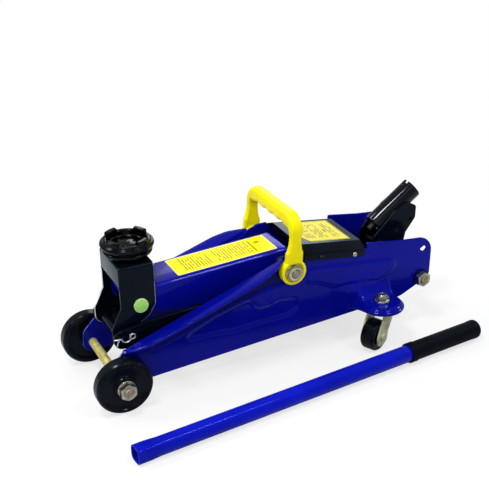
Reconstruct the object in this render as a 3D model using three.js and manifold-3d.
// Small hydraulic trolley jack with its pump lever laid beside it. Millimetres, +Z up, the front towards -X.
// The jack is drawn with x = 0 on the front axle and y = 0 on its centre plane, standing on z = 0; the
// last lines move the origin to the middle of the footprint of the whole set.
import * as THREE from "three";
import { mergeVertices } from "three/addons/utils/BufferGeometryUtils.js";
import Module from "manifold-3d";

const wasm = await Module();
wasm.setup();

// ---- driving dimensions ----
const gap = 0.3; // between faces that touch
const runGap = 0.3; // radial, round every pin and shaft

const plateWall = 3;
const plateClear = 6.4; // link bar to side plate
const flangeReach = 19; // how far the lens-shaped top flange stands out
const flangeDrop = 0.24; // fall of the flange per millimetre outwards
const flangeStart = [8, 67]; // x, z of the flange's front tip
const flangeEnd = [190, 132];
const flangeSlope = 0.5873; // rise per millimetre at the front tip
const tailX = 397;

const wheelR = 31.5;
const wheelWidth = 16;
const wheelGap = 3.75; // side plate to tyre
const axleR = 5;
const axleNut = { across: 17, height: 6.5, washer: 1.5 };

const armPivot = [205, 115]; // x, z of the lift arm's shaft
const pivotR = 8;
const pivotNut = { across: 19, height: 6, washer: 1 };
const armPin = [34.5, 106];
const armPinR = 6;
const armPinHead = { r: 8, height: 2.7 };
const armHalf = 25;
const armWall = 3;
const armEnd = 12.5; // metal round the front pin's hole
const linkDrop = [-23.5, -34]; // from an arm pivot to the link pivot below it
const linkPinR = 5;
const linkBar = { thick: 5, half: 14, end: 10, clear: 0.6 };
const crankR = 46;
const crankLean = 23.5; // degrees behind straight down
const crankPinR = 5;

const headClear = 2; // lift arm to the inside of the saddle head
const headWall = 3;
const apronLow = 130; // lower edge of the head's front apron
const headTop = 152.5;
const headFront = 13;
const headRear = 51.7;

const saddleR = 29;
const saddleStemR = 8;
const saddleRim = 171;
const lugTop = 174.5;
const lugWidth = 16;
const lugTurn = 36; // degrees of the first lug

const ramZ = 74;
const ramR = 10;
const cylinderR = 14;
const tankR = 29;
const tankFront = 262;
const tankNut = { r: 21, long: 6 };
const blockFront = 317.3;
const blockHalf = 30;
const blockTop = 78;
const blockFloor = 44;

const rearBolt = [tailX - 13, 62];
const rearBoltR = 6;
const rearNut = { across: 17, height: 6, washer: 2 };
const pegR = 11; // block to side plate, round the rear bolt
const valve = { x: 326, r: 5, low: 66, top: 92, across: 12, head: 8 };
const plug = { x: 335, r: 6, clear: 1.2 };

const socketPivot = [345, 98];
const socketPivotR = 5;
const socketBoltHead = { across: 14, height: 4.7 };
const socketMouth = [394.4, 159.5];
const socketRise = 36.4; // degrees above level
const socketLength = 64;
const leverR = 10;
const leverClear = 0.4;
const socketWall = 2;
const yokeWall = 3;
const plungerX = 365;
const plungerR = 5.5;
const plungerTop = 85.5;
const plungerHead = { r: 8, height: 3.5 };
const bossTop = 70;
const bossR = 10;
const rollerR = 5;
const spring = { r: 7.2, wire: 0.9, turns: 3.5 };

const coverFront = [224, 135.5]; // x, z of the cover's front top edge
const coverLength = 79.8;
const coverFall = 8.07; // degrees
const coverHalf = 33;
const coverSkirt = 14.5;
const coverWall = 1.5;
const screwR = 2;
const screwAt = [22, 66]; // along the cover

const handleR = 66.5; // pivot to the outer edge of the grip bar
const handleLean = 3.5; // degrees to the rear
const handleThick = 8;
const handleGap = 2.6; // side plate to a leg
const eyeR = 14;

const casterX = 316;
const casterOut = 21; // side plate to the swivel bolt
const casterTurn = { left: 205.8, right: 168 };
const earTop = 58;
const earWall = 4;
const earR = 26;
const casterR = 18.5;
const casterWidth = 14;
const casterTrail = 13;
const casterBoltR = 5;
const casterNut = { across: 14, height: 6 };
const casterAxleR = 3;
const forkWall = 2.5;
const forkClear = 0.8; // wheel to a fork leg

const leverLength = 452.5;
const leverStart = [-23.4, -147.6];
const leverTurn = 5.1; // degrees
const leverWall = 1.6;
const gripLength = 123;
const gripWall = 1.75;

// ---- materials ----
const paint = (color, roughness = 0.3) => new THREE.MeshStandardMaterial({ color, roughness });
const metal = (color, roughness = 0.35) => new THREE.MeshStandardMaterial({ color, roughness, metalness: 1 });
const bluePaint = paint(0x1016a0, 0.25);
const blackPaint = paint(0x0d1520, 0.25);
const wheelBlack = paint(0x14181d, 0.4);
const gripRubber = paint(0x14181d, 0.6);
const yellowPlastic = paint(0xf5ee10, 0.45);
const greenCap = paint(0x8cd750, 0.4);
const redPlastic = paint(0xd01818, 0.4);
const zinc = metal(0xc9ccc4);
const yellowZinc = metal(0xc8bc70);
const steel = metal(0x9a9a98, 0.3);

// ---- solids ----
function solidOf(geometry) {
  const g = geometry.clone();
  g.deleteAttribute("normal");
  g.deleteAttribute("uv");
  const merged = mergeVertices(g, 1e-4);
  return new wasm.Manifold(
    new wasm.Mesh({
      numProp: 3,
      vertProperties: new Float32Array(merged.attributes.position.array),
      triVerts: new Uint32Array(merged.index.array),
    }),
  );
}

function geometryOf(solid) {
  const m = solid.getMesh();
  const g = new THREE.BufferGeometry();
  g.setAttribute("position", new THREE.BufferAttribute(new Float32Array(m.vertProperties), 3));
  g.setIndex(new THREE.BufferAttribute(new Uint32Array(m.triVerts), 1));
  g.computeVertexNormals();
  return g;
}

const join = (first, ...rest) => geometryOf(rest.reduce((a, b) => a.add(solidOf(b)), solidOf(first)));
const cut = (first, ...rest) => geometryOf(rest.reduce((a, b) => a.subtract(solidOf(b)), solidOf(first)));
const common = (a, b) => geometryOf(solidOf(a).intersect(solidOf(b)));

const toRad = THREE.MathUtils.degToRad;
const alongX = new THREE.Matrix4().makeBasis(
  new THREE.Vector3(0, 1, 0),
  new THREE.Vector3(0, 0, 1),
  new THREE.Vector3(1, 0, 0),
);

// Closed outline whose corners [x, y, radius] are rounded by arcs.
function outline(corners, steps = 3) {
  const points = [];
  corners.forEach(([x, y, r = 0], i) => {
    const p = new THREE.Vector2(x, y);
    const [ax, ay] = corners[(i + corners.length - 1) % corners.length];
    const [bx, by] = corners[(i + 1) % corners.length];
    const a = new THREE.Vector2(ax, ay).sub(p);
    const b = new THREE.Vector2(bx, by).sub(p);
    const half = a.angleTo(b) / 2;
    const reach = Math.min(r / Math.tan(half), 0.49 * a.length(), 0.49 * b.length());
    if (reach < 0.05) {
      points.push(p);
      return;
    }
    const start = p.clone().add(a.normalize().multiplyScalar(reach));
    const end = p.clone().add(b.normalize().multiplyScalar(reach));
    points.push(...arcPoints(start, p, end, reach * Math.tan(half), steps));
  });
  return new THREE.Shape(points);
}

// Points on the arc of radius r that touches start-corner and corner-end at start and end.
function arcPoints(start, corner, end, r, steps) {
  const middle = start.clone().add(end).multiplyScalar(0.5);
  const inward = middle.clone().sub(corner).normalize();
  const depth = Math.sqrt(Math.max(r ** 2 - start.distanceToSquared(end) / 4, 0));
  const centre = middle.clone().add(inward.multiplyScalar(depth));
  const a0 = Math.atan2(start.y - centre.y, start.x - centre.x);
  const a1 = Math.atan2(end.y - centre.y, end.x - centre.x);
  const sweep = Math.atan2(Math.sin(a1 - a0), Math.cos(a1 - a0));
  return Array.from({ length: steps + 1 }, (_, i) => {
    const a = a0 + (sweep * i) / steps;
    return new THREE.Vector2(centre.x + r * Math.cos(a), centre.y + r * Math.sin(a));
  });
}

// Plate of an outline in x and z, from y0 to y1.
function plateXZ(shape, y0, y1) {
  const g = new THREE.ExtrudeGeometry(shape, { depth: y1 - y0, bevelEnabled: false });
  return g.rotateX(Math.PI / 2).translate(0, y1, 0);
}

// Plate of an outline in y and z, from x0 to x1.
function plateYZ(shape, x0, x1) {
  const g = new THREE.ExtrudeGeometry(shape, { depth: x1 - x0, bevelEnabled: false });
  return g.applyMatrix4(alongX).translate(x0, 0, 0);
}

// Closed strip through sections of four corners, each turning by the right-hand rule about the way ahead.
function strip(sections) {
  const last = 4 * (sections.length - 1);
  const index = [0, 2, 1, 0, 3, 2];
  for (let a = 0; a < last; a += 4)
    for (let k = 0; k < 4; k++) {
      const b = a + ((k + 1) % 4);
      index.push(a + k, b, b + 4, a + k, b + 4, a + k + 4);
    }
  index.push(last, last + 1, last + 2, last, last + 2, last + 3);
  const g = new THREE.BufferGeometry();
  g.setAttribute("position", new THREE.Float32BufferAttribute(sections.flat(2), 3));
  g.setIndex(index);
  return g;
}

const box = (x0, x1, y0, y1, z0, z1) =>
  new THREE.BoxGeometry(x1 - x0, y1 - y0, z1 - z0).translate((x0 + x1) / 2, (y0 + y1) / 2, (z0 + z1) / 2);
// Sides of a round piece: a pin and its hole lie in one size band, so their facets line up.
const sidesOf = (r) => (r < 7 ? 12 : r < 12 ? 16 : 20);
const rodX = (r, x0, x1, y, z, sides = sidesOf(r)) =>
  new THREE.CylinderGeometry(r, r, x1 - x0, sides).rotateZ(Math.PI / 2).translate((x0 + x1) / 2, y, z);
const rodY = (r, y0, y1, x, z, sides = sidesOf(r)) =>
  new THREE.CylinderGeometry(r, r, y1 - y0, sides).translate(x, (y0 + y1) / 2, z);
const rodZ = (r, z0, z1, x, y, sides = sidesOf(r)) =>
  new THREE.CylinderGeometry(r, r, z1 - z0, sides).rotateX(Math.PI / 2).translate(x, y, (z0 + z1) / 2);
const hexR = (across) => across / Math.sqrt(3);
// Solid of revolution: profile points are [radius, distance along the axis].
const turned = (profile, sides) =>
  new THREE.LatheGeometry(
    profile.map(([r, d]) => new THREE.Vector2(r, d)),
    sides,
  );

const root = new THREE.Group();

function add(name, geometry, material, parent = root) {
  const mesh = new THREE.Mesh(geometry, material);
  mesh.name = name;
  parent.add(mesh);
  return mesh;
}

// The same piece on both sides: drawn on the right (+Y), mirrored to the left.
function addPair(name, geometry, material) {
  add(name + "_right", geometry, material);
  add(name + "_left", geometry, material).scale.y = -1;
}

// ---- derived places ----
const headHalf = armHalf + headClear + headWall;
const linkInner = headHalf + linkBar.clear;
const linkOuter = linkInner + linkBar.thick;
const plateInner = linkOuter + plateClear;
const plateOuter = plateInner + plateWall;
const linkPin = [armPin[0] + linkDrop[0], armPin[1] + linkDrop[1]];
const linkStud = [armPivot[0] + linkDrop[0], armPivot[1] + linkDrop[1]];
const crankPin = [
  armPivot[0] + crankR * Math.sin(toRad(crankLean)),
  armPivot[1] - crankR * Math.cos(toRad(crankLean)),
];
const coverTop = (x) => coverFront[1] - Math.tan(toRad(coverFall)) * (x - coverFront[0]);
const coverSeat = 7.5; // side plate edge below the cover's top
const screwDrop = 11.5;
const wheelInner = plateOuter + wheelGap;
const wheelOuter = wheelInner + wheelWidth;

// ---- frame ----
// Height of the side plate's top edge along the flange, a parabola from its front tip to its rear end.
function flangeZ(x) {
  const run = flangeEnd[0] - flangeStart[0];
  const bend = (flangeEnd[1] - flangeStart[1] - flangeSlope * run) / run ** 2;
  return flangeStart[1] + flangeSlope * (x - flangeStart[0]) + bend * (x - flangeStart[0]) ** 2;
}

function sidePlate() {
  const steps = 12;
  const run = flangeEnd[0] - flangeStart[0];
  const stations = Array.from({ length: steps + 1 }, (_, i) => flangeEnd[0] - (run * i) / steps);
  const notchFront = coverFront[0] - 2;
  const notchRear = coverFront[0] + coverLength * Math.cos(toRad(coverFall)) + 2;
  const web = outline([
    [34, 22.7],
    [357, 42.4, 30],
    [tailX, 61, 10],
    [tailX, 113, 20],
    [347, 117.8, 10],
    [notchRear, 124.3, 2],
    [notchRear, coverTop(notchRear) - coverSeat, 1],
    [notchFront, coverTop(notchFront) - coverSeat, 1],
    [notchFront, flangeEnd[1] + 0.6, 4],
    ...stations.map((x) => [x, flangeZ(x)]),
    [-10, 46, 12],
    [-12, 17.5, 13],
  ]);
  // The flange runs from the web's inner face to a lens-shaped outer edge.
  const flange = strip(
    stations.map((x, i) => {
      const outer = plateOuter + flangeReach * Math.sin((Math.PI * i) / steps) + 0.2;
      const z = flangeZ(x);
      const outerZ = z - flangeDrop * (outer - plateOuter);
      return [
        [x, plateInner, z],
        [x, outer, outerZ],
        [x, outer, outerZ - plateWall],
        [x, plateInner, z - plateWall - 1],
      ];
    }),
  );
  const y0 = plateInner - 5;
  const y1 = plateOuter + 5;
  const eye = outline([
    [tailX - 17, 99.5, 1],
    [tailX - 11, 95.5, 1],
    [tailX - 7, 99.5, 1],
    [tailX - 11, 103.5, 1],
  ]);
  const holes = screwAt.map((d) => {
    const a = toRad(coverFall);
    const x = coverFront[0] + d * Math.cos(a) - screwDrop * Math.sin(a);
    return rodY(screwR + runGap, y0, y1, x, coverFront[1] - d * Math.sin(a) - screwDrop * Math.cos(a), 8);
  });
  return cut(
    join(plateXZ(web, plateInner, plateOuter), flange),
    rodY(axleR + gap, y0, y1, 0, wheelR),
    rodY(pivotR + gap, y0, y1, ...armPivot),
    rodY(linkPinR + gap, y0, y1, ...linkStud),
    rodY(rearBoltR + gap, y0, y1, ...rearBolt),
    plateXZ(eye, y0, y1),
    ...holes,
  );
}
addPair("side_plate", sidePlate(), bluePaint);

const crossTie = { at: [140, 40], r: 7 };
add("cross_tie", rodY(crossTie.r, -plateInner + gap, plateInner - gap, ...crossTie.at), bluePaint);

const axleEnd = wheelOuter + 2 * gap + axleNut.washer + axleNut.height + 1.5;
add("front_axle", rodY(axleR, -axleEnd, axleEnd, 0, wheelR), yellowZinc);
const washerR = (nut) => 0.6 * nut.across;
function flangedNut(nut, y, bore, x, z) {
  const { across, height, washer } = nut;
  const body = join(
    rodY(washerR(nut), y, y + washer, x, z),
    rodY(hexR(across), y + washer - 0.1, y + washer + height, x, z, 6),
  );
  return cut(body, rodY(bore, y - 1, y + washer + height + 1, x, z));
}
addPair("axle_nut", flangedNut(axleNut, wheelOuter + gap, axleR + gap, 0, wheelR), zinc);

function frontWheel() {
  const h = wheelWidth / 2;
  const bore = axleR + runGap;
  const inner = h + wheelGap - gap;
  return turned(
    [
      [bore, -inner],
      [9, -inner],
      [9, -h],
      [wheelR - 2, -h],
      [wheelR, -h + 2.5],
      [wheelR, h - 2.5],
      [wheelR - 2, h],
      [wheelR - 5, h],
      [wheelR - 6, h - 3],
      [13, h - 3],
      [12, h - 0.3],
      [bore, h - 0.3],
      [bore, -inner],
    ],
    24,
  ).translate(0, (wheelInner + wheelOuter) / 2, wheelR);
}
addPair("front_wheel", frontWheel(), wheelBlack);

// ---- lift arm and its links ----
function liftArm() {
  const [px, pz] = armPivot;
  const [tx, tz] = armPin;
  const [cx, cz] = crankPin;
  const cheek = outline([
    [tx - armEnd, tz - armEnd - 0.5, armEnd - 0.5],
    [tx - armEnd, tz + armEnd + 1, armEnd - 0.5],
    [tx + 20, tz + 16.5],
    [px + 9, pz + 15.5, 5],
    [px + 16, pz + 3, 8],
    [cx + 11, cz + 4, 8],
    [cx + 9, cz - 10, 9],
    [cx - 11, cz - 10, 9],
    [px - 8, pz - 22, 12],
    [px - 55, pz - 34, 20],
    [px - 110, pz - 31, 30],
    [tx + 18, tz - armEnd - 0.5, 12],
  ]);
  const body = plateXZ(cheek, -armHalf, armHalf);
  // The hollow under the top plate, open downwards and at both ends.
  const hollow = outline([
    [tx - 30, tz - 60],
    [tx - 30, tz + 12.5],
    [tx + 20, tz + 13.5],
    [px + 6, pz + 12.5],
    [px + 60, pz + 12.5],
    [px + 60, pz - 90],
  ]);
  const inside = armHalf - armWall;
  return cut(
    body,
    plateXZ(hollow, -inside, inside),
    rodY(pivotR + runGap, -armHalf - 1, armHalf + 1, px, pz),
    rodY(armPinR + runGap, -armHalf - 1, armHalf + 1, tx, tz),
    rodY(crankPinR + gap, -armHalf - 1, armHalf + 1, cx, cz),
  );
}
add("lift_arm", liftArm(), bluePaint);
add("crank_pin", rodY(crankPinR, -armHalf - 1.5, armHalf + 1.5, ...crankPin), steel);

const handleOffset = plateOuter + handleGap;
const eyeOuter = handleOffset + handleThick;
const recessDepth = 4; // round the pivot nut, in the handle's eye
const pivotNutY = eyeOuter - recessDepth + 2 * gap;
add("pivot_shaft", rodY(pivotR, -pivotNutY - 8.5, pivotNutY + 8.5, ...armPivot), steel);
addPair("pivot_nut", flangedNut(pivotNut, pivotNutY, pivotR + gap, ...armPivot), zinc);

function linkGeometry() {
  const dx = linkStud[0] - linkPin[0];
  const dz = linkStud[1] - linkPin[1];
  const long = Math.hypot(dx, dz);
  const { half, end } = linkBar;
  const shape = outline([
    [-end, -end, end - 0.1],
    [28, -half, 20],
    [long - 30, -half, 20],
    [long + end, -end, end - 0.1],
    [long + end, end, end - 0.1],
    [long - 30, half, 20],
    [28, half, 20],
    [-end, end, end - 0.1],
  ]);
  return cut(
    plateXZ(shape, linkInner, linkOuter),
    rodY(linkPinR + runGap + 0.1, linkInner - 1, linkOuter + 1, 0, 0),
    rodY(linkPinR + runGap, linkInner - 1, linkOuter + 1, long, 0),
  )
    .rotateY(-Math.atan2(dz, dx))
    .translate(linkPin[0], 0, linkPin[1]);
}
addPair("link_bar", linkGeometry(), blackPaint);
// Stud riveted in the side plate, with a flat head inside the link bar.
addPair(
  "link_stud",
  join(
    rodY(linkPinR, linkInner - 1.5, plateOuter + 0.1, ...linkStud),
    rodY(linkPinR + 2.5, linkOuter + gap, plateInner - gap, ...linkStud),
    rodY(linkPinR + 2, linkInner - 2.8, linkInner - gap, ...linkStud),
  ),
  steel,
);

// ---- saddle head ----
function saddleHead() {
  const [lx, lz] = linkPin;
  const cheek = outline([
    [headFront, headTop],
    [headFront, 105, 6],
    [lx - 9.4, lz + 11, 6],
    [lx - 9.4, lz - 9.4, 9.3],
    [lx + 9.4, lz - 9.4, 9.3],
    [lx + 14, lz + 9, 6],
    [lx + 33, lz + 19, 12],
    [headRear, 104, 4],
    [headRear, headTop],
  ]);
  const body = plateXZ(cheek, -headHalf, headHalf);
  const inside = headHalf - headWall;
  const behindApron = box(headFront + headWall, headRear + 20, -inside, inside, 0, headTop - headWall);
  const underApron = box(headFront - 40, headFront + 20, -inside, inside, 0, apronLow);
  return cut(
    body,
    behindApron,
    underApron,
    rodY(armPinR + gap, -headHalf - 1, headHalf + 1, ...armPin),
    rodY(linkPinR + gap, -headHalf - 1, headHalf + 1, ...linkPin),
    rodZ(saddleStemR + runGap, headTop - 10, headTop + 10, armPin[0], 0),
  );
}
add("saddle_head", saddleHead(), blackPaint);

const pinHeadY = headHalf + gap;
add(
  "arm_pin",
  join(
    rodY(armPinR, -pinHeadY - 0.1, pinHeadY + 0.1, ...armPin),
    rodY(armPinHead.r, pinHeadY, pinHeadY + armPinHead.height, ...armPin),
    rodY(armPinHead.r, -pinHeadY - armPinHead.height, -pinHeadY, ...armPin),
  ),
  greenCap,
);
const clipY = linkOuter + 1.9;
add(
  "link_pin",
  cut(
    join(
      rodY(linkPinR, -linkOuter - 4, linkOuter + 0.4, ...linkPin),
      rodY(linkPinR + 3, linkOuter + 0.3, linkOuter + 2.8, ...linkPin),
    ),
    rodX(1.2, linkPin[0] - 8, linkPin[0] + 8, -clipY, linkPin[1], 10),
  ),
  steel,
);

const wireSection = (r) => new THREE.Shape(new THREE.EllipseCurve(0, 0, r, r).getPoints(5).slice(0, 5));

// Spring clip: one straight leg through the pin, a ring, and a bowed leg over the pin.
function springClip() {
  const [x, z] = linkPin;
  const aside = -2; // where the ring's end passes the straight leg
  const leg = [-8, 0, 8].map((dx) => [dx, 0, 0]);
  const ring = [
    [12, 0, 0.4],
    [16, 0, 2.6],
    [16, 0, 6],
    [12.6, aside, 6.4],
    [11.6, aside, 3.4],
    [9.6, aside, 4.6],
  ];
  const bow = [
    [6.6, 0, 6.4],
    [2.6, 0, 7.4],
    [-2, 0, 7.4],
    [-5.6, 0, 6.2],
    [-8.4, 0, 7.6],
  ];
  const path = new THREE.CatmullRomCurve3(
    [...leg, ...ring, ...bow].map(([dx, dy, dz]) => new THREE.Vector3(x + dx, dy - clipY, z + dz)),
  );
  return new THREE.ExtrudeGeometry(wireSection(0.8), { steps: 32, extrudePath: path, bevelEnabled: false });
}
add("spring_clip", springClip(), zinc);

function saddle() {
  const foot = headTop + gap;
  const cupFloor = saddleRim - 6.5;
  const bowl = turned(
    [
      [0, headTop - 11],
      [saddleStemR, headTop - 11],
      [saddleStemR, foot],
      [24, foot],
      [25.5, foot + 1.5],
      [25.5, foot + 4],
      [22.5, foot + 6],
      [22.5, foot + 8],
      [saddleR - 2, foot + 9.5],
      [saddleR, foot + 11.5],
      [saddleR, saddleRim - 2],
      [saddleR - 2, saddleRim],
      [saddleR - 5, saddleRim],
      [saddleR - 7, cupFloor],
      [7, cupFloor],
      [6, cupFloor + 3],
      [0, cupFloor + 3],
    ],
    24,
  ).rotateX(Math.PI / 2);
  const lug = (turn) => {
    const block = box(saddleR - 7.5, saddleR - 0.8, -lugWidth / 2, lugWidth / 2, saddleRim - 5, lugTop);
    return block.rotateZ(toRad(turn));
  };
  const lugs = [0, 90, 180, 270].map((step) => lug(lugTurn + step));
  return join(bowl, ...lugs).translate(armPin[0], 0, 0);
}
add("saddle", saddle(), blackPaint);

// ---- hydraulic unit ----
const tankRear = blockFront - gap;
const cylinderFront = tankFront - 6;
add(
  "oil_tank",
  cut(
    rodX(tankR, tankFront, tankRear, 0, ramZ),
    rodX(cylinderR + gap, tankFront - 1, tankRear + 1, 0, ramZ),
  ),
  blackPaint,
);
add(
  "ram_cylinder",
  cut(
    rodX(cylinderR, cylinderFront, tankRear, 0, ramZ),
    rodX(ramR + runGap, cylinderFront - 1, tankRear + 1, 0, ramZ),
  ),
  steel,
);
const nutFront = cylinderFront - gap - tankNut.long;
add(
  "tank_nut",
  cut(
    rodX(tankNut.r, nutFront, cylinderFront - gap, 0, ramZ, 8),
    rodX(ramR + runGap, nutFront - 1, tankFront, 0, ramZ),
  ),
  blackPaint,
);
const ramHeadRear = crankPin[0] + 12.7;
add("ram", rodX(ramR, ramHeadRear + gap, tankRear - 10, 0, ramZ), steel);
// The crank pin rides up and down in the ram head's slot as the arm swings.
const ramSlot = { half: crankPinR + 1.4, low: 62.5, high: 85.5, wall: 4 };
const ramHeadHalf = armHalf - armWall - 4;
function ramHead() {
  const { half, low, high, wall } = ramSlot;
  const x = crankPin[0];
  return cut(
    box(x - half - wall - 0.9, ramHeadRear, -ramHeadHalf, ramHeadHalf, low - wall, high + wall),
    box(x - half, x + half, -armHalf, armHalf, low, high),
  );
}
add("ram_head", ramHead(), steel);

const socketIn = leverR + leverClear;
const socketOut = socketIn + socketWall;
const yokeInner = socketOut + gap;
const yokeOuter = yokeInner + yokeWall;
const lugHalf = yokeInner - 3 * gap;
function pumpBlock() {
  const [bx, bz] = rearBolt;
  const [sx, sz] = socketPivot;
  const lug = outline([
    [sx - 9.5, blockTop - 5],
    [sx + 9.5, blockTop - 5],
    [sx + 9.5, sz + 9.5, 9.4],
    [sx - 9.5, sz + 9.5, 9.4],
  ]);
  const tail = outline([
    [350, blockFloor],
    [bx + pegR, blockFloor + 7, 6],
    [bx + pegR, bz + pegR, 10],
    [bx - pegR + 1, bz + pegR, 6],
    [bx - pegR, bz, 4],
    [350, bz],
  ]);
  const pegs = rodY(pegR, -plateInner + gap, plateInner - gap, bx, bz);
  return cut(
    join(
      box(blockFront, plungerX - bossR + 0.5, -blockHalf, blockHalf, blockFloor, blockTop),
      plateXZ(lug, -lugHalf, lugHalf),
      plateXZ(tail, -16, 16),
      pegs,
      rodZ(bossR, blockFloor, bossTop, plungerX, 0),
    ),
    rodY(rearBoltR + gap, -plateOuter, plateOuter, bx, bz),
    rodY(socketPivotR + gap, -20, 20, sx, sz),
    rodZ(plungerR + runGap, blockFloor - 1, bossTop + 1, plungerX, 0),
    rodZ(valve.r + runGap, valve.low - 0.5, blockTop + 1, valve.x, 0),
  );
}
add("pump_block", pumpBlock(), blackPaint);
add(
  "release_valve",
  join(
    rodZ(valve.r, valve.low, valve.top - valve.head + 0.1, valve.x, 0),
    rodZ(hexR(valve.across), valve.top - valve.head, valve.top, valve.x, 0, 6),
  ),
  zinc,
);
function fillerPlug() {
  const profile = [
    [0, 0],
    [plug.r + 1, 0],
    [plug.r + 1, 2],
    [plug.r, 6],
    [0, 7],
  ];
  return turned(profile, 20)
    .rotateX(Math.PI / 2)
    .translate(plug.x, lugHalf + plug.clear + plug.r + 1, blockTop + gap);
}
add("filler_plug", fillerPlug(), redPlastic);

add(
  "pump_plunger",
  join(
    rodZ(plungerR, bossTop - 19, plungerTop - plungerHead.height + 0.1, plungerX, 0),
    rodZ(plungerHead.r, plungerTop - plungerHead.height, plungerTop, plungerX, 0),
  ),
  steel,
);
function pumpSpring() {
  const { r, wire, turns } = spring;
  const low = bossTop + gap + wire;
  const high = plungerTop - plungerHead.height - gap - wire;
  const steps = 35;
  const points = Array.from({ length: steps + 1 }, (_, i) => {
    const a = (2 * Math.PI * turns * i) / steps;
    const z = low + ((high - low) * i) / steps;
    return new THREE.Vector3(plungerX + r * Math.cos(a), r * Math.sin(a), z);
  });
  const path = new THREE.CatmullRomCurve3(points);
  return new THREE.ExtrudeGeometry(wireSection(wire), { steps, extrudePath: path, bevelEnabled: false });
}
add("pump_spring", pumpSpring(), steel);

// Rear bolt through both side plates and the pump block.
const rearEnd = plateOuter + gap + rearNut.washer + rearNut.height + 2;
add("rear_bolt", rodY(rearBoltR, -rearEnd, rearEnd, ...rearBolt), steel);
addPair("rear_nut", flangedNut(rearNut, plateOuter + gap, rearBoltR + gap, ...rearBolt), zinc);

// ---- handle socket ----
const roller = [plungerX, plungerTop + 0.7 + rollerR];

// Places a piece drawn along +X, its far end at 0, on the socket's slanting axis.
function onSocket(geometry) {
  return geometry.rotateY(-toRad(socketRise)).translate(socketMouth[0], 0, socketMouth[1]);
}
// The corner that lies s along that axis, behind the mouth where s is negative, and d below the axis.
function besideSocket(s, d, r = 0) {
  const a = toRad(socketRise);
  const x = socketMouth[0] + s * Math.cos(a) + d * Math.sin(a);
  return [x, socketMouth[1] + s * Math.sin(a) - d * Math.cos(a), r];
}

// Tube with a notch in its mouth.
function handleSocket() {
  const notch = { deep: 7, half: 2.5 };
  return onSocket(
    cut(
      rodX(socketOut, -socketLength, 0, 0, 0),
      rodX(socketIn, -socketLength - 1, 1, 0, 0),
      box(-notch.deep, 1, -notch.half, notch.half, 0, socketOut + 1),
    ),
  );
}
add("handle_socket", handleSocket(), blackPaint);

// Folded bracket: two cheeks beside the socket, joined by a web behind it.
function socketYoke() {
  const [sx, sz] = socketPivot;
  const [rx, rz] = roller;
  const cheek = outline([
    [sx - 12, sz - 12, 11.5],
    [sx - 12, sz + 14, 8],
    besideSocket(-37, -4.3, 6),
    besideSocket(-19.6, -2.7, 5),
    besideSocket(-12.5, socketOut, 4),
    besideSocket(-21.6, socketOut + 12, 6),
    besideSocket(-41.8, socketOut + 18.3, 6),
    [rx + 9, rz - 7, 6],
    [rx - 6, rz - 6, 6],
  ]);
  const hollow = outline([
    [sx + 5, sz - 40],
    [sx - 40, sz - 40],
    [sx - 40, sz + 80],
    besideSocket(30, -20),
    besideSocket(0, socketOut + 1.5),
    besideSocket(-16, socketOut + 1.5),
    besideSocket(-22.4, socketOut + 9),
    besideSocket(-40, socketOut + 14),
    [rx + 30, rz + 12],
    [rx + 30, rz - 30],
  ]);
  const cheekHole = besideSocket(-28, socketOut + 8);
  return cut(
    plateXZ(cheek, -yokeOuter, yokeOuter),
    plateXZ(hollow, -yokeInner, yokeInner),
    rodY(socketPivotR + runGap, -yokeOuter - 1, yokeOuter + 1, sx, sz),
    rodY(2, -yokeOuter - 1, yokeOuter + 1, cheekHole[0], cheekHole[1], 8),
  );
}
add("socket_yoke", socketYoke(), blackPaint);
const boltHeadOuter = yokeOuter + gap + socketBoltHead.height;
add(
  "socket_bolt",
  join(
    rodY(socketPivotR, -yokeOuter - 1, yokeOuter + 1, ...socketPivot),
    rodY(hexR(socketBoltHead.across), yokeOuter + gap, boltHeadOuter, ...socketPivot, 6),
    rodY(hexR(socketBoltHead.across), -boltHeadOuter, -yokeOuter - gap, ...socketPivot, 6),
  ),
  zinc,
);
add("socket_roller", rodY(rollerR, -yokeInner + gap, yokeInner - gap, ...roller), steel);
const key = onSocket(
  join(
    rodX(socketIn - runGap, -socketLength + 2, -socketLength + 6, 0, 0),
    rodX(4, -socketLength - 8, -socketLength + 16, 0, 0, 6),
  ),
);
add("release_key", key, steel);

// ---- cover ----
function coverPlate() {
  const skirtIn = plateOuter + gap;
  const skirtOut = skirtIn + coverWall;
  const fold = 6;
  const hem = -fold - 0.9;
  const shape = outline([
    [-skirtOut, -coverSkirt],
    [-skirtIn, -coverSkirt],
    [-skirtIn, hem],
    [-coverHalf + 0.4, -coverWall],
    [coverHalf - 0.4, -coverWall],
    [skirtIn, hem],
    [skirtIn, -coverSkirt],
    [skirtOut, -coverSkirt],
    [skirtOut, -fold, 2],
    [coverHalf, 0, 3],
    [-coverHalf, 0, 3],
    [-skirtOut, -fold, 2],
  ]);
  const lip = box(0, coverWall, -coverHalf, coverHalf, -8, -0.5);
  const holes = screwAt.map((d) => rodY(screwR + runGap, -skirtOut - 1, skirtOut + 1, d, -screwDrop, 8));
  return onCover(cut(join(plateYZ(shape, 0, coverLength), lip), ...holes));
}
// Places a piece drawn along +X from the cover's front top edge.
function onCover(geometry) {
  return geometry.rotateY(toRad(coverFall)).translate(coverFront[0], 0, coverFront[1]);
}
add("cover_plate", coverPlate(), blackPaint);
screwAt.forEach((d, i) => {
  const face = plateOuter + gap + coverWall + gap;
  const screw = () =>
    onCover(
      join(
        rodY(screwR, plateInner + 0.4, face + 0.1, d, -screwDrop, 8),
        rodY(screwR + 1.8, face, face + 1.6, d, -screwDrop),
      ),
    );
  addPair(i ? "rear_cover_screw" : "front_cover_screw", screw(), zinc);
});

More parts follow.
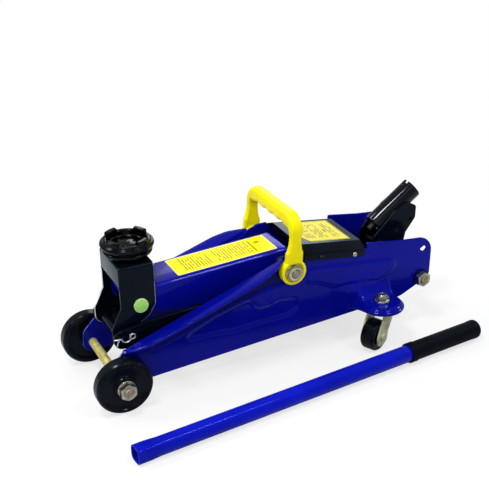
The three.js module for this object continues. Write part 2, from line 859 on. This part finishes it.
// ---- carry handle ----
// The front view, a U turned over, meets the side view, an eye, a narrowing leg and a thick bar.
function carryHandle() {
  const waves = 4;
  const gripHalf = 36;
  const gripInner = handleR - 17; // pivot to the inside of the bar, at the middle of a wave
  const points = 17;
  const grip = Array.from({ length: points }, (_, i) => {
    const y = gripHalf * ((2 * i) / (points - 1) - 1);
    return [y, gripInner - 1.4 * Math.cos((Math.PI * waves * y) / gripHalf)];
  });
  const corner = (side) => [side * (gripHalf + 3), gripInner - 1.5, 6];
  const front = outline([
    [-eyeOuter, -eyeR],
    [-handleOffset, -eyeR],
    [-handleOffset, gripInner - 14, 10],
    corner(-1),
    ...grip,
    corner(1),
    [handleOffset, gripInner - 14, 10],
    [handleOffset, -eyeR],
    [eyeOuter, -eyeR],
    [eyeOuter, handleR, 26],
    [-eyeOuter, handleR, 26],
  ]);
  const half = { foot: 9, neck: 4.9, bar: 6.8 };
  const edge = [
    [half.foot, 22, 4],
    [half.neck, 28, 4],
    [half.neck, 42, 6],
    [half.bar, 50, 4],
    [half.bar, handleR, 6],
  ];
  const side = outline([
    [-half.foot, 0],
    ...edge.map(([x, z, r]) => [-x, z, r]),
    ...edge.reverse(),
    [half.foot, 0],
  ]);
  const eyes = rodY(eyeR, -eyeOuter, eyeOuter, 0, 0);
  const arch = common(
    plateYZ(front, -20, 20),
    join(plateXZ(side, -eyeOuter - 1, eyeOuter + 1), eyes),
  );
  const bossInner = plateOuter + 2 * gap;
  const bosses = [
    rodY(eyeR - 0.5, bossInner, handleOffset + 1, 0, 0),
    rodY(eyeR - 0.5, -handleOffset - 1, -bossInner, 0, 0),
  ];
  const recess = (y0, y1) => rodY(washerR(pivotNut) + gap, y0, y1, 0, 0);
  return cut(
    join(arch, ...bosses),
    rodY(pivotR + runGap, -eyeOuter - 1, eyeOuter + 1, 0, 0),
    recess(eyeOuter - recessDepth, eyeOuter + 1),
    recess(-eyeOuter - 1, -eyeOuter + recessDepth),
  )
    .rotateY(toRad(handleLean))
    .translate(armPivot[0], 0, armPivot[1]);
}
add("carry_handle", carryHandle(), yellowPlastic);

// ---- casters ----
const casterY = plateOuter + casterOut;

// Ear: a tongue that leaves the side plate higher up, dips to the caster's seat and ends in a half circle.
function casterEar() {
  const start = plateOuter + gap;
  const rows = 10;
  const rootHalf = 34;
  const rise = 9;
  const ear = strip(
    Array.from({ length: rows + 1 }, (_, i) => {
      const y = start + (casterY + 0.9997 * earR - start) * Math.sin((Math.PI * i) / (2 * rows));
      const beyond = Math.max(y - casterY, 0);
      const narrowing = Math.min((y - start) / (casterY - start), 1);
      const half = Math.sqrt(earR ** 2 - beyond ** 2) + (rootHalf - earR) * (1 - narrowing) ** 2;
      const z = earTop + rise * (1 - THREE.MathUtils.smoothstep(y, start, casterY - 12));
      return [
        [casterX - half, y, z - earWall],
        [casterX - half, y, z],
        [casterX + half, y, z],
        [casterX + half, y, z - earWall],
      ];
    }),
  );
  return cut(ear, rodZ(casterBoltR + gap, earTop - 10, earTop + 20, casterX, casterY));
}
addPair("caster_ear", casterEar(), bluePaint);

const forkTop = earTop - earWall - gap;
function casterBolt() {
  const nutTop = earTop + gap + casterNut.height;
  const head = [forkTop - 8, forkTop - 4.6];
  return join(
    rodZ(casterBoltR, head[0], nutTop + 2.2, casterX, casterY),
    rodZ(hexR(casterNut.across), earTop + gap, nutTop, casterX, casterY, 6),
    rodZ(casterBoltR + 2, ...head, casterX, casterY),
  );
}
addPair("caster_bolt", casterBolt(), zinc);

function casterFork() {
  const inner = casterWidth / 2 + forkClear;
  const leg = outline([
    [-9, forkTop - 1.4],
    [-9, forkTop - 9, 4],
    [casterTrail - 7, casterR - 5, 5],
    [casterTrail - 3, casterR - 7.5, 4],
    [casterTrail + 6, casterR - 7, 5],
    [casterTrail + 7.5, casterR + 3, 5],
    [9, forkTop - 8, 5],
    [9, forkTop - 1.4],
  ]);
  return cut(
    join(
      rodZ(15, forkTop - 4.2, forkTop - 1.3, 0, 0),
      rodZ(9, forkTop - 2, forkTop, 0, 0),
      plateXZ(leg, inner, inner + forkWall),
      plateXZ(leg, -inner - forkWall, -inner),
    ),
    rodZ(casterBoltR + runGap, forkTop - 8, forkTop + 8, 0, 0),
    rodY(casterAxleR + gap, -30, 30, casterTrail, casterR),
  );
}
function casterAxle() {
  const end = casterWidth / 2 + forkClear + forkWall + gap;
  return join(
    rodY(casterAxleR, -end - 1, end + 1, casterTrail, casterR),
    rodY(casterAxleR + 1.6, end, end + 1.4, casterTrail, casterR),
    rodY(casterAxleR + 1.6, -end - 1.4, -end, casterTrail, casterR),
  );
}
function casterWheel() {
  const h = casterWidth / 2;
  const bore = casterAxleR + runGap;
  const profile = [
    [bore, -h],
    [casterR - 1.5, -h],
    [casterR, -h + 1.8],
    [casterR, h - 1.8],
    [casterR - 1.5, h],
    [bore, h],
    [bore, -h],
  ];
  return turned(profile, 20).translate(casterTrail, 0, casterR);
}
for (const side of ["left", "right"]) {
  const caster = new THREE.Group();
  caster.position.set(casterX, side === "left" ? -casterY : casterY, 0);
  caster.rotation.z = toRad(casterTurn[side]);
  root.add(caster);
  add("caster_fork_" + side, casterFork(), zinc, caster);
  add("caster_axle_" + side, casterAxle(), zinc, caster);
  add("caster_wheel_" + side, casterWheel(), wheelBlack, caster);
}

// ---- pump lever ----
// It lies on the floor on its open end and on the thicker grip, so it tips up by a hair.
const gripR = leverR + gripWall;
const lever = new THREE.Group();
lever.position.set(...leverStart, leverR);
lever.rotation.order = "ZYX";
lever.rotation.z = toRad(leverTurn);
lever.rotation.y = -Math.asin(gripWall / (leverLength - gripLength));
root.add(lever);
const tubeEnd = leverLength - 3;
add(
  "lever_tube",
  cut(
    rodX(leverR, 0, tubeEnd, 0, 0),
    rodX(leverR - leverWall, -1, tubeEnd + 1, 0, 0),
  ),
  bluePaint,
  lever,
);
const gripStart = leverLength - gripLength;
add(
  "lever_grip",
  turned(
    [
      [leverR + gap, gripStart],
      [gripR - 0.6, gripStart],
      [gripR, gripStart + 1.5],
      [gripR, leverLength - 3],
      [gripR - 2.5, leverLength],
      [0, leverLength],
      [0, tubeEnd + gap],
      [leverR + gap, tubeEnd + gap],
      [leverR + gap, gripStart],
    ],
    sidesOf(leverR),
  ).rotateZ(-Math.PI / 2),
  gripRubber,
  lever,
);

// ---- origin: the middle of the footprint, on the floor ----
root.updateMatrixWorld(true);
const bounds = new THREE.Box3().setFromObject(root, true);
const middle = bounds.getCenter(new THREE.Vector3());
root.position.set(-middle.x, -middle.y, -bounds.min.z);

export default root;
